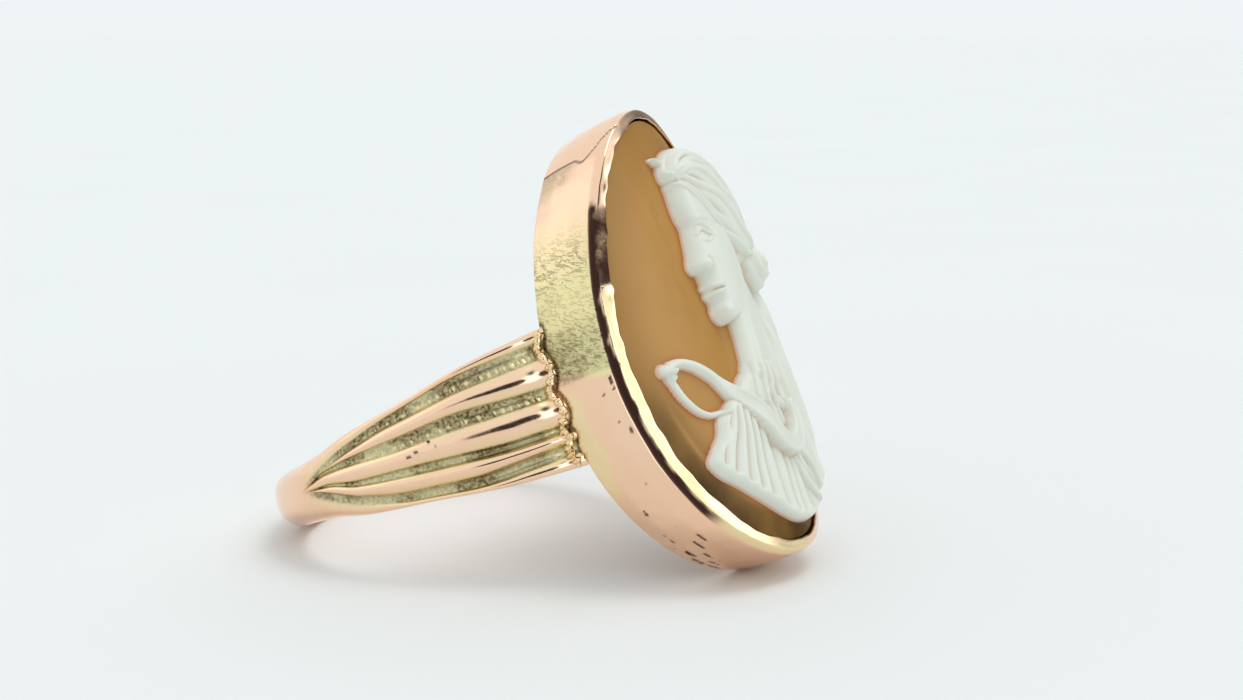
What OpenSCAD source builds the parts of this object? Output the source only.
// A gold finger ring lying on its side: a fluted shank and a saddle-curved oval setting, with a
// carved shell cameo rubbed in under the setting's lip. Millimetres. The cameo looks along -Y, the
// figure's head is towards +Z, and the ring rests on the setting's lower end and the shank's back.

/* [Finger and shank] */
// Radius of the finger hole
finger_r = 8.7; // [7.6:0.1:10.4]
// Thickness of the shank at the back
shank_t = 1.3; // [1:0.1:1.8]
// Width of the shank at the back
shank_w = 2.6; // [2:0.1:3.4]
// How far the back's outside is rounded off towards its edges
shank_crown = 1.0; // [0.6:0.05:1.15]

/* [Shoulders] */
// Width of a shoulder where it meets the setting
shoulder_w = 6.3; // [5:0.1:7.4]
// How far a shoulder's outside is rounded off towards its edges
shoulder_crown = 0.55; // [0.3:0.05:0.8]
// Depth of the flutes where they meet the setting
flute_depth = 0.5; // [0.2:0.05:0.6]
// Angle from the middle of the back to the point where the flutes start
flute_start = 69; // [55:1:78]
// Half width of the opening between the two shoulders' inner ends
gallery_x = 6; // [5.4:0.1:6.1]

/* [Setting] */
// Length of the setting along the finger
setting_l = 21.5; // [19:0.1:24]
// Width of the setting across the finger
setting_w = 14; // [13.8:0.1:15]
// Share by which the foot of the oval is wider than its head
egg = 0.09; // [0:0.01:0.12]
// Height of the rim's ends above the middle of the finger hole
rim_rise = 14.75; // [14.2:0.05:15.6]
// How much lower the rim is at its two sides, where it bends round the finger
saddle = 1.82; // [1.2:0.02:2.2]
// How much the ends of the rim stand above its middle
rim_bow = 0.09; // [0:0.01:0.3]
// Height of the setting's wall
wall_h = 3.64; // [3.2:0.02:4]
// Thickness of the setting's wall
wall_t = 0.45; // [0.35:0.05:0.55]
// How far the back edge of the wall is set in from its rim
wall_taper = 0.18; // [0:0.02:0.3]
// Width of the lip that is rubbed over the cameo
lip_w = 0.56; // [0.5:0.02:0.7]
// Height of that lip
lip_h = 0.42; // [0.3:0.02:0.55]
// Depth of the bearer that carries the cameo, below the rim
bearer_depth = 1.7; // [1.5:0.05:1.9]
// Thickness of that bearer
bearer_t = 0.45; // [0.3:0.05:0.6]
// How far the bearer reaches in from the outside of the wall
bearer_w = 1.05; // [0.9:0.05:1.2]
// Angle by which the setting leans back from the plane of the shank
head_lean = 1.1; // [0:0.1:2]

/* [Cameo] */
// Gap between the cameo and the metal all round
cameo_gap = 0.06; // [0.04:0.01:0.12]
// How far the cameo's ground lies below the lip's top at its edge
ground_drop = 0.18; // [0.1:0.01:0.25]
// How far the ground domes up in its middle
ground_dome = 0.3; // [0:0.02:0.6]
// Height of the hair above the ground, over the forehead
hair_h = 1.75; // [1:0.05:2]
// How much higher the hair is at the back of the head
hair_rise = 0.35; // [0:0.05:0.5]
// Depth of the hair's waves
wave_depth = 0.2; // [0:0.05:0.3]
// Height of the face above the ground
face_h = 1.15; // [0.7:0.05:1.4]
// Height of the neck above the ground
neck_h = 0.85; // [0.5:0.05:1.1]
// Height of the dress above the ground
dress_h = 0.7; // [0.4:0.05:0.9]
// Height of the drape that falls from the knot of hair
drape_h = 1.2; // [0.6:0.05:1.4]
// Thickness of the sash where it lies on the dress
sash_h = 0.42; // [0.2:0.02:0.5]
// Depth of the dress's pleats
pleat_depth = 0.3; // [0:0.02:0.4]

/* [Hidden] */
// Sides of the finger hole in a preview
$fn = 64;

GOLD = "#E9BFA2";
SHELL_GROUND = "#AD8450";

half_l = setting_l / 2;
half_w = setting_w / 2;
shank_r = finger_r + shank_t;
// How far the swept metal runs inside the finger hole before the hole is bored
bore_cut = 0.3;
// Power of the rim's fall towards the two sides: 2 would be a parabola
RIM_POWER = 1.93;
// How far the wall bulges out below the lip, and how much thicker it is inside above the bearer
wall_bulge = 0.04;
wall_foot = 0.12;
// Thickness of the lip's inner edge, and how far that edge is undercut
lip_edge = 0.1;
lip_undercut = 0.02;

// Where the shoulders leave the round of the shank, and how gently they do, as a share of its radius
SHOULDER_FROM = 88;
SHOULDER_BEND = 0.36;
// How far above the wall's back edge a shoulder's outside meets the wall, how proud of it, and the
// reach of the curve that brings it in
joint_rise = 0.52;
joint_proud = 0.03;
joint_flare = 2.1;
// How far a shoulder's end bites into the wall, and how far below the bearer it stops
shoulder_bite = 0.4;
shoulder_drop = 0.28;
// Angle at which the outside starts to flatten, and the angle over which it does
CROWN_FROM = 50;
CROWN_OVER = 60;
// How far out the outside's curve runs towards a quarter round, and how far the sides lean in
CROWN_TURN = 0.99;
SIDE_LEAN = 0.97;
// Roundness of the ribs: 0.5 would be a half ellipse. An edge rib is at its full height early.
RIB_POWER = 0.45;
EDGE_RIB = 1.7;

// Columns: share of the way from the back to the setting, share of the growth in width
WIDTHS = [[0, 0], [0.4, 0.03], [0.51, 0.1], [0.61, 0.31], [0.75, 0.54], [0.89, 0.85], [1, 1]];

// The four flutes, as places across the band: 1 is the edge at the figure's head, -1 the other.
// Columns: share of the way from the flutes' point to the setting, flute 1, 2, 3, 4, share of depth
FLUTES = [
    [0,    0.13, 0.11, 0.09,  0.07, 0],
    [0.07, 0.34, 0.26, 0.06, -0.12, 0.3],
    [0.14, 0.52, 0.37, 0.01, -0.34, 0.4],
    [0.27, 0.67, 0.34, -0.19, -0.63, 0.5],
    [0.46, 0.80, 0.28, -0.30, -0.84, 0.6],
    [0.65, 0.81, 0.25, -0.38, -0.84, 0.8],
    [0.85, 0.73, 0.16, -0.43, -0.74, 1],
    [1,    0.68, 0.10, -0.45, -0.68, 1],
];

// Outlines of the carving. Columns: place across, as a share of the setting's half width, and place
// along the finger, as a share of its half length.
DRESS = [
    [-0.12, -0.22], [-0.33, -0.30], [-0.49, -0.355], [-0.54, -0.42], [-0.63, -0.46], [-0.68, -0.51],
    [-0.62, -0.57], [-0.51, -0.645], [-0.38, -0.72], [-0.23, -0.80], [-0.07, -0.865], [0.14, -0.885],
    [0.36, -0.84], [0.55, -0.75], [0.70, -0.60], [0.77, -0.42], [0.78, -0.25], [0.74, -0.08],
    [0.62, 0.02], [0.30, -0.05], [0.05, -0.13],
];
NECK = [
    [0.09, 0.15], [0.40, 0.29], [0.56, 0.19], [0.60, 0.05], [0.66, -0.11], [0.43, -0.24], [0, -0.22],
    [0.05, -0.09], [0.08, 0.03],
];
FACE = [
    [-0.064, 0.647], [-0.103, 0.595], [-0.12, 0.535], [-0.12, 0.474], [-0.109, 0.439], [-0.131, 0.391],
    [-0.166, 0.33], [-0.209, 0.277], [-0.194, 0.244], [-0.143, 0.225], [-0.14, 0.197], [-0.161, 0.173],
    [-0.146, 0.154], [-0.157, 0.132], [-0.129, 0.104], [-0.149, 0.067], [-0.14, 0.03], [-0.094, 0.006],
    [-0.007, 0], [0.1, 0.017], [0.229, 0.067], [0.357, 0.149], [0.443, 0.27], [0.443, 0.484],
    [0.229, 0.642],
];
HAIR = [
    [-0.071, 0.623], [-0.114, 0.67], [-0.064, 0.735], [0.071, 0.781], [0.25, 0.795], [0.429, 0.753],
    [0.571, 0.67], [0.671, 0.563], [0.729, 0.456], [0.769, 0.344], [0.764, 0.233], [0.721, 0.144],
    [0.636, 0.088], [0.536, 0.098], [0.479, 0.158], [0.421, 0.219], [0.357, 0.274], [0.286, 0.335],
    [0.221, 0.4], [0.136, 0.479], [0.029, 0.563],
];
DRAPE = [
    [0.586, 0.195], [0.70, 0.149], [0.771, 0.037], [0.814, -0.13], [0.821, -0.316], [0.779, -0.493],
    [0.686, -0.66], [0.557, -0.791], [0.429, -0.865], [0.393, -0.753], [0.443, -0.595],
    [0.436, -0.428], [0.414, -0.26], [0.443, -0.093], [0.514, 0.056],
];
// The knot of hair. Columns: place across and along, half width across and along, in the same shares
KNOT = [0.62, 0.205, 0.155, 0.12];
// How far the knot stands above the hair, and how steep its sides are
KNOT_RISE = 0.4;
KNOT_EDGE = 1.8;
// Soft forms on the face, on the thirds of a plain head. Columns: place across and along, reach
// across and along, in the same shares, and height in mm
FEATURES = [
    [0.10,   0.25,  0.17,  0.11,   0.16],
    [-0.02,  0.39,  0.085, 0.04,  -0.26],
    [-0.05,  0.462, 0.06,  0.016,  0.08],
    [-0.045, 0.386, 0.05,  0.02,   0.16],
    [-0.14,  0.253, 0.03,  0.02,   0.14],
    [-0.11,  0.168, 0.05,  0.012,  0.11],
    [-0.11,  0.152, 0.05,  0.006, -0.16],
    [-0.11,  0.135, 0.05,  0.012,  0.11],
    [-0.12,  0.052, 0.05,  0.03,   0.1],
];
// Middle lines of the sash's two strands and its tail, in the same two columns
SASH_TOP = [
    [-0.74, -0.12], [-0.72, -0.09], [-0.66, -0.078], [-0.57, -0.09], [-0.47, -0.13], [-0.37, -0.2],
    [-0.28, -0.28], [-0.19, -0.37], [-0.1, -0.46], [-0.02, -0.525], [0.08, -0.555], [0.19, -0.53],
    [0.28, -0.46], [0.34, -0.37],
];
SASH_LOW = [
    [-0.74, -0.12], [-0.72, -0.155], [-0.685, -0.215], [-0.62, -0.28], [-0.53, -0.325], [-0.41, -0.335],
];
SASH_TAIL = [[0.34, -0.52], [0.41, -0.62], [0.42, -0.72], [0.34, -0.78], [0.26, -0.7], [0.24, -0.58]];
SASH_R = 0.55;
LOW_STRAND_R = 0.42;
TAIL_R = 0.4;
// Height of the lower strand and of the tail, as shares of the upper strand's
LOW_STRAND_SHARE = 0.8;
TAIL_SHARE = 0.7;
// Where the pleats fan out from, how many there are, how wide their fan is, how far it leans and
// over what angle it fades at its sides
PLEAT_FROM = [-0.066, 0.043];
PLEATS = 9;
PLEAT_FAN = 70;
PLEAT_LEAN = 12;
PLEAT_FADE = 6;
// Distance from there at which the pleats start, as a share of the half length, and over what
// distance they reach their depth
PLEAT_START = 0.42;
PLEAT_OVER = 0.8;
// Soft edges of the carved forms: how far they start outside their outlines, how far in they are at
// their full height, and over what width all carving fades out beside the lip
OUTER_EDGE = 0.15;
RIM_FADE = 0.45;
DRESS_EDGE = 0.4;
FACE_EDGE = 0.45;
DRAPE_EDGE = 1.1;
HAIR_EDGE = 1.2;
// Where the hair starts to rise towards the back, over what width, and the width of one wave
RISE_FROM = 0.8;
RISE_OVER = 3;
WAVE_WIDTH = 0.9;

// Numbers of faces along and across the swept and carved surfaces
RIM_STEPS = 72;
PLAIN_STEPS = 9;
FLUTE_STEPS = 8;
SHOULDER_STEPS = 16;
RIB_STEPS = 5;
GROUND_STEPS_X = 50;
GROUND_STEPS_Z = 78;

function column(table, c) = [for (row = table) [row[0], row[c]]];
function smooth(t) = t <= 0 ? 0 : t >= 1 ? 1 : t * t * (3 - 2 * t);
function clamp(t) = min(1, max(0, t));

// The setting

// Height of the rim above the finger's middle, at a place on the setting
function rim(x, z) = rim_rise - saddle * pow(abs(x) / half_w, RIM_POWER) + rim_bow * pow(z / half_l, 2);
// Point of the setting's oval at an angle, set in by an amount and lowered from the rim by another
function oval(t, inset) = [(half_w - inset) * cos(t) * (1 - egg * sin(t)), (half_l - inset) * sin(t)];
function on_rim(t, inset, drop) =
    let (p = oval(t, inset))
    [p[0], drop - rim(p[0], p[1]), p[1]];
// Half width of the wall's back edge at a place along the finger
function wall_x(z) =
    let (s = min(0.95, abs(z) / (half_l - wall_taper)))
    (half_w - wall_taper) * sqrt(1 - s * s);

// Outline of the wall, lip and bearer. Columns: set in from the outside, lowered from the rim.
WALL = [
    [lip_w, 0],
    [0, lip_h],
    [-wall_bulge, lip_h + 0.3 * (wall_h - lip_h)],
    [wall_taper / 9, lip_h + 0.7 * (wall_h - lip_h)],
    [wall_taper, wall_h],
    [wall_taper + wall_t, wall_h],
    [wall_t + wall_foot, bearer_depth + bearer_t],
    [bearer_w, bearer_depth + bearer_t],
    [bearer_w, bearer_depth],
    [wall_t, bearer_depth],
    [wall_t, lip_h + lip_edge],
    [lip_w + lip_undercut, lip_edge],
];

// A closed band of faces through rings of equally many points
function strip_faces(rings, n, wrap) = [
    for (i = [0 : rings - (wrap ? 1 : 2)]) for (j = [0 : n - 1])
        let (k = (i + 1) % rings, m = (j + 1) % n)
        [i * n + j, k * n + j, k * n + m, i * n + m]
];

module setting() {
    n = len(WALL);
    points = [for (i = [0 : RIM_STEPS - 1]) for (w = WALL) on_rim(360 * i / RIM_STEPS, w[0], w[1])];
    polyhedron(points, strip_faces(RIM_STEPS, n, true), convexity = 10);
}

// The shank and its shoulders, as sections in planes through the finger's axis. An angle is 0 at
// the middle of the back and 180 at the setting.

// Where a shoulder's outside meets the setting's wall, across and along the finger's height
joint_x = half_w - wall_taper + joint_proud;
joint_y = rim_rise - saddle - wall_h + joint_rise;
// Where the shoulder ends inside the metal of the wall
end_x = joint_x - shoulder_bite;
end_y = rim_rise - saddle - bearer_depth - shoulder_drop;

function on_circle(r, a) = [r * sin(a), -r * cos(a)];
function bezier(p, t) =
    let (s = 1 - t)
    s * s * s * p[0] + 3 * s * s * t * p[1] + 3 * s * t * t * p[2] + t * t * t * p[3];
SIDE_CURVE = [
    on_circle(shank_r, SHOULDER_FROM),
    on_circle(shank_r, SHOULDER_FROM) + SHOULDER_BEND * shank_r * [cos(SHOULDER_FROM), sin(SHOULDER_FROM)],
    [joint_x + joint_flare, joint_y - joint_flare],
    [joint_x, joint_y],
];
joint_angle = 180 - atan2(joint_x, joint_y);

// Angle and outer radius of each section on one side, from the back to the setting
function polar(p) = [180 - atan2(p[0], p[1]), norm(p)];
SIDE = concat(
    [for (i = [1 : PLAIN_STEPS]) [flute_start * i / PLAIN_STEPS, shank_r]],
    [for (i = [1 : FLUTE_STEPS])
        [flute_start + (SHOULDER_FROM - flute_start) * i / FLUTE_STEPS, shank_r]],
    [for (i = [1 : SHOULDER_STEPS]) polar(bezier(SIDE_CURVE, i / SHOULDER_STEPS))],
    [polar([end_x, end_y])]
);
STATIONS = concat(
    [for (i = [len(SIDE) - 1 : -1 : 0]) [-SIDE[i][0], SIDE[i][1]]],
    [[0, shank_r]],
    SIDE
);

function half_width(a) =
    (shank_w + (shoulder_w - shank_w) * lookup(abs(a) / joint_angle, WIDTHS)) / 2;
function crown(a) =
    shank_crown + (shoulder_crown - shank_crown) * smooth((abs(a) - CROWN_FROM) / CROWN_OVER);
function along(a) = clamp((abs(a) - flute_start) / (joint_angle - flute_start));
function flute(a, k) = lookup(along(a), column(FLUTES, k));
// Roundness of a rib, from 0 in a flute to 1 on its crest; the two edge ribs have a flute on one side
function rib(u, edge) = edge ? sin(90 * min(1, EDGE_RIB * u)) : pow(4 * u * (1 - u), RIB_POWER);

// Inner radius of the swept metal: inside the finger hole, and further out beside the opening
function inner(a) = max(finger_r - bore_cut, abs(a) > 90 ? gallery_x / sin(abs(a)) : 0);
// One section: its two inner corners, and its outside from edge to edge between them
function section(a, r) =
    let (
        w = half_width(a),
        side = SIDE_LEAN * w,
        depth = flute_depth * lookup(along(a), column(FLUTES, 5)),
        knots = [-1, flute(a, 4), flute(a, 3), flute(a, 2), flute(a, 1), 1],
        outside = [
            for (k = [0 : 4]) for (j = [k == 0 ? 0 : 1 : RIB_STEPS])
                let (
                    u = j / RIB_STEPS,
                    s = knots[k] + (knots[k + 1] - knots[k]) * u,
                    bump = k == 0 ? rib(1 - u, true) : k == 4 ? rib(u, true) : rib(u, false)
                )
                [s * w, r - crown(a) * (1 - sqrt(1 - CROWN_TURN * s * s)) - depth * (1 - bump)]
        ]
    )
    concat([[-side, inner(a)]], outside, [[side, inner(a)]]);

// A section's points in space. The last one follows the oval, so that it stays inside the wall.
function placed(a, r, last) = [
    for (p = section(a, r))
        let (x = p[1] * sin(a), shift = last ? wall_x(0) - wall_x(p[0]) : 0)
        [x - sign(a) * shift, p[1] * cos(a), p[0]]
];

module band() {
    rings = len(STATIONS);
    points = [for (i = [0 : rings - 1])
        each placed(STATIONS[i][0], STATIONS[i][1], i == 0 || i == rings - 1)];
    n = len(points) / rings;
    faces = concat(
        strip_faces(rings, n, false),
        [[for (j = [0 : n - 1]) j]],
        [[for (j = [n - 1 : -1 : 0]) (rings - 1) * n + j]]
    );
    polyhedron(points, faces, convexity = 10);
}

// How the ring lies

// Leans the setting and its cameo back, about the outside of the shank's back
module leaned() {
    translate([0, shank_r, 0]) rotate([-head_lean, 0, 0]) translate([0, -shank_r, 0]) children();
}
function lean(p) =
    let (y = p[1] - shank_r)
    [
        p[0],
        shank_r + y * cos(head_lean) + p[2] * sin(head_lean),
        p[2] * cos(head_lean) - y * sin(head_lean)
    ];
function tip(p, a) = [p[0], p[1] * cos(a) + p[2] * sin(a), p[2] * cos(a) - p[1] * sin(a)];

FOOT = [for (w = WALL) lean(on_rim(-90, w[0], w[1]))];
BACK = placed(0, shank_r, false);
function lowest(points, a) =
    let (heights = [for (p = points) tip(p, a)[2]], low = min(heights))
    points[search(low, heights)[0]];
// The angle at which the setting's foot and the shank's back touch one level, found step by step
function rest_angle(a, steps) =
    let (f = lowest(FOOT, a), b = lowest(BACK, a), next = atan((b[2] - f[2]) / (b[1] - f[1])))
    steps == 0 ? a : rest_angle(next, steps - 1);
tilt = rest_angle(23, 4);
floor_z = tip(lowest(FOOT, tilt), tilt)[2];

module lying() {
    rim_points = [for (i = [0 : RIM_STEPS - 1]) tip(lean(on_rim(360 * i / RIM_STEPS, lip_w, 0)), tilt)];
    front = min([for (p = rim_points) p[1]]);
    back = max([for (p = BACK) tip(p, tilt)[1]]);
    translate([0, -(front + back) / 2, -floor_z]) rotate([-tilt, 0, 0]) children();
}

module ring_mount() {
    color(GOLD) lying() difference() {
        union() {
            band();
            leaned() setting();
        }
        cylinder(r = finger_r, h = 2 * setting_l, center = true);
    }
}

// The cameo

// Distance from a point to the line between two others
function segment_distance(p, a, b) =
    let (d = b - a, t = clamp((p - a) * d / (d * d)))
    norm(p - a - t * d);
function line_distance(p, line) =
    min([for (i = [1 : len(line) - 1]) segment_distance(p, line[i - 1], line[i])]);
// Distance in from an outline, negative outside it
function depth_inside(p, loop) =
    let (
        n = len(loop),
        d = min([for (i = [0 : n - 1]) segment_distance(p, loop[i], loop[(i + 1) % n])]),
        hits = [for (i = [0 : n - 1])
            let (a = loop[i], b = loop[(i + 1) % n])
            if ((a[1] > p[1]) != (b[1] > p[1])
                && p[0] < (b[0] - a[0]) * (p[1] - a[1]) / (b[1] - a[1]) + a[0]) 1]
    )
    len(hits) % 2 == 1 ? d : -d;
function in_mm(table) = [for (q = table) [q[0] * half_w, q[1] * half_l]];
// Soft rise from 0 just outside an outline to 1 at the soft edge's width inside it
function rise(d, edge) = smooth((d + OUTER_EDGE) / (edge + OUTER_EDGE));
function strand(d, r) = smooth(1 - d / r);

DRESS_MM = in_mm(DRESS);
NECK_MM = in_mm(NECK);
FACE_MM = in_mm(FACE);
HAIR_MM = in_mm(HAIR);
DRAPE_MM = in_mm(DRAPE);
SASH_TOP_MM = in_mm(SASH_TOP);
SASH_LOW_MM = in_mm(SASH_LOW);
SASH_TAIL_MM = in_mm(SASH_TAIL);
PLEAT_MM = in_mm([PLEAT_FROM])[0];

function pleats(p) =
    let (q = p - PLEAT_MM, a = atan2(q[0], -q[1]) + PLEAT_LEAN)
    pleat_depth * smooth((norm(q) - PLEAT_START * half_l) / PLEAT_OVER)
        * smooth((PLEAT_FAN / 2 - abs(a)) / PLEAT_FADE) * (0.5 - 0.5 * cos(360 * PLEATS * a / PLEAT_FAN));
// Bell-shaped height of one row of the face's forms at a point
function form(p, row) =
    let (u = (p[0] / half_w - row[0]) / row[2], v = (p[1] / half_l - row[1]) / row[3])
    row[4] * exp(-u * u - v * v);
function features(p) = [for (row = FEATURES) form(p, row)] * [for (row = FEATURES) 1];
function hair(p, d) =
    (hair_h + hair_rise * smooth((p[0] - RISE_FROM) / RISE_OVER)) * rise(d, HAIR_EDGE)
        - wave_depth * smooth(d / WAVE_WIDTH) * (0.5 + 0.5 * cos(360 * d / WAVE_WIDTH));
function knot(p) =
    let (u = (p[0] / half_w - KNOT[0]) / KNOT[2], v = (p[1] / half_l - KNOT[1]) / KNOT[3])
    (hair_h + KNOT_RISE) * smooth(KNOT_EDGE * (1 - norm([u, v])));
// Height of the carving above the ground
function carving(p) =
    let (
        dress = depth_inside(p, DRESS_MM),
        body = rise(dress, DRESS_EDGE) * (dress_h - (dress > 0 ? pleats(p) : 0)),
        neck = neck_h * rise(depth_inside(p, NECK_MM), FACE_EDGE),
        drape = drape_h * rise(depth_inside(p, DRAPE_MM), DRAPE_EDGE),
        cheek = depth_inside(p, FACE_MM),
        face = face_h * rise(cheek, FACE_EDGE) + smooth(cheek / FACE_EDGE * 2) * features(p),
        sash = max(
            strand(line_distance(p, SASH_TOP_MM), SASH_R),
            strand(line_distance(p, SASH_LOW_MM), LOW_STRAND_R) * LOW_STRAND_SHARE,
            strand(line_distance(p, SASH_TAIL_MM), TAIL_R) * TAIL_SHARE
        )
    )
    max(body, neck, drape, face, hair(p, depth_inside(p, HAIR_MM)), knot(p)) + sash_h * sash;

// The cameo's edge, from the back to the front. Columns: set in from the wall, lowered from the rim.
EDGE = [
    [wall_t + cameo_gap, bearer_depth - cameo_gap],
    [wall_t + cameo_gap, lip_h + lip_edge + cameo_gap],
];
ground_inset = lip_w + lip_undercut + cameo_gap;

// A square's points spread evenly over a round disc
function disc(u, v) = [u * sqrt(1 - v * v / 2), v * sqrt(1 - u * u / 2)];
function on_oval(q, inset) = [(half_w - inset) * q[0] * (1 - egg * q[1]), (half_l - inset) * q[1]];
function dome(q) = ground_dome * (1 - q * q);
function fade(q) = smooth((1 - norm(q)) * half_w / RIM_FADE);
function lowered(p, drop) = [p[0], drop - rim(p[0], p[1]), p[1]];

module cameo() {
    nx = GROUND_STEPS_X;
    nz = GROUND_STEPS_Z;
    squares = [for (j = [0 : nz]) for (i = [0 : nx]) disc(2 * i / nx - 1, 2 * j / nz - 1)];
    top = [for (q = squares)
        let (p = on_oval(q, ground_inset))
        lowered(p, ground_drop - dome(q) - fade(q) * carving(p))];
    // Indices of the grid's outline, once round
    loop = concat(
        [for (i = [0 : nx - 1]) i],
        [for (j = [0 : nz - 1]) j * (nx + 1) + nx],
        [for (i = [nx : -1 : 1]) nz * (nx + 1) + i],
        [for (j = [nz : -1 : 1]) j * (nx + 1)]
    );
    n = len(loop);
    upper = [for (k = loop) lowered(on_oval(squares[k], EDGE[1][0]), EDGE[1][1])];
    lower = [for (k = loop) lowered(on_oval(squares[k], EDGE[0][0]), EDGE[0][1])];
    inner = [for (k = loop) lowered(on_oval(0.8 * squares[k], EDGE[0][0]), EDGE[0][1])];
    first = len(top);
    faces = concat(
        [for (j = [0 : nz - 1]) for (i = [0 : nx - 1])
            let (k = j * (nx + 1) + i)
            each [[k, k + nx + 2, k + 1], [k, k + nx + 1, k + nx + 2]]],
        [for (i = [0 : n - 1])
            let (m = (i + 1) % n)
            each [[loop[i], first + m, first + i], [loop[i], loop[m], first + m]]],
        [for (r = [0 : 1]) for (i = [0 : n - 1])
            let (m = (i + 1) % n, s = first + r * n)
            each [[s + i, s + n + m, s + n + i], [s + i, s + m, s + n + m]]],
        [for (i = [0 : n - 1]) [first + 2 * n + i, first + 2 * n + (i + 1) % n, first + 3 * n]]
    );
    middle = lowered([0, 0], EDGE[0][1]);
    color(SHELL_GROUND) lying() leaned()
        polyhedron(concat(top, upper, lower, inner, [middle]), faces, convexity = 10);
}

ring_mount();
cameo();
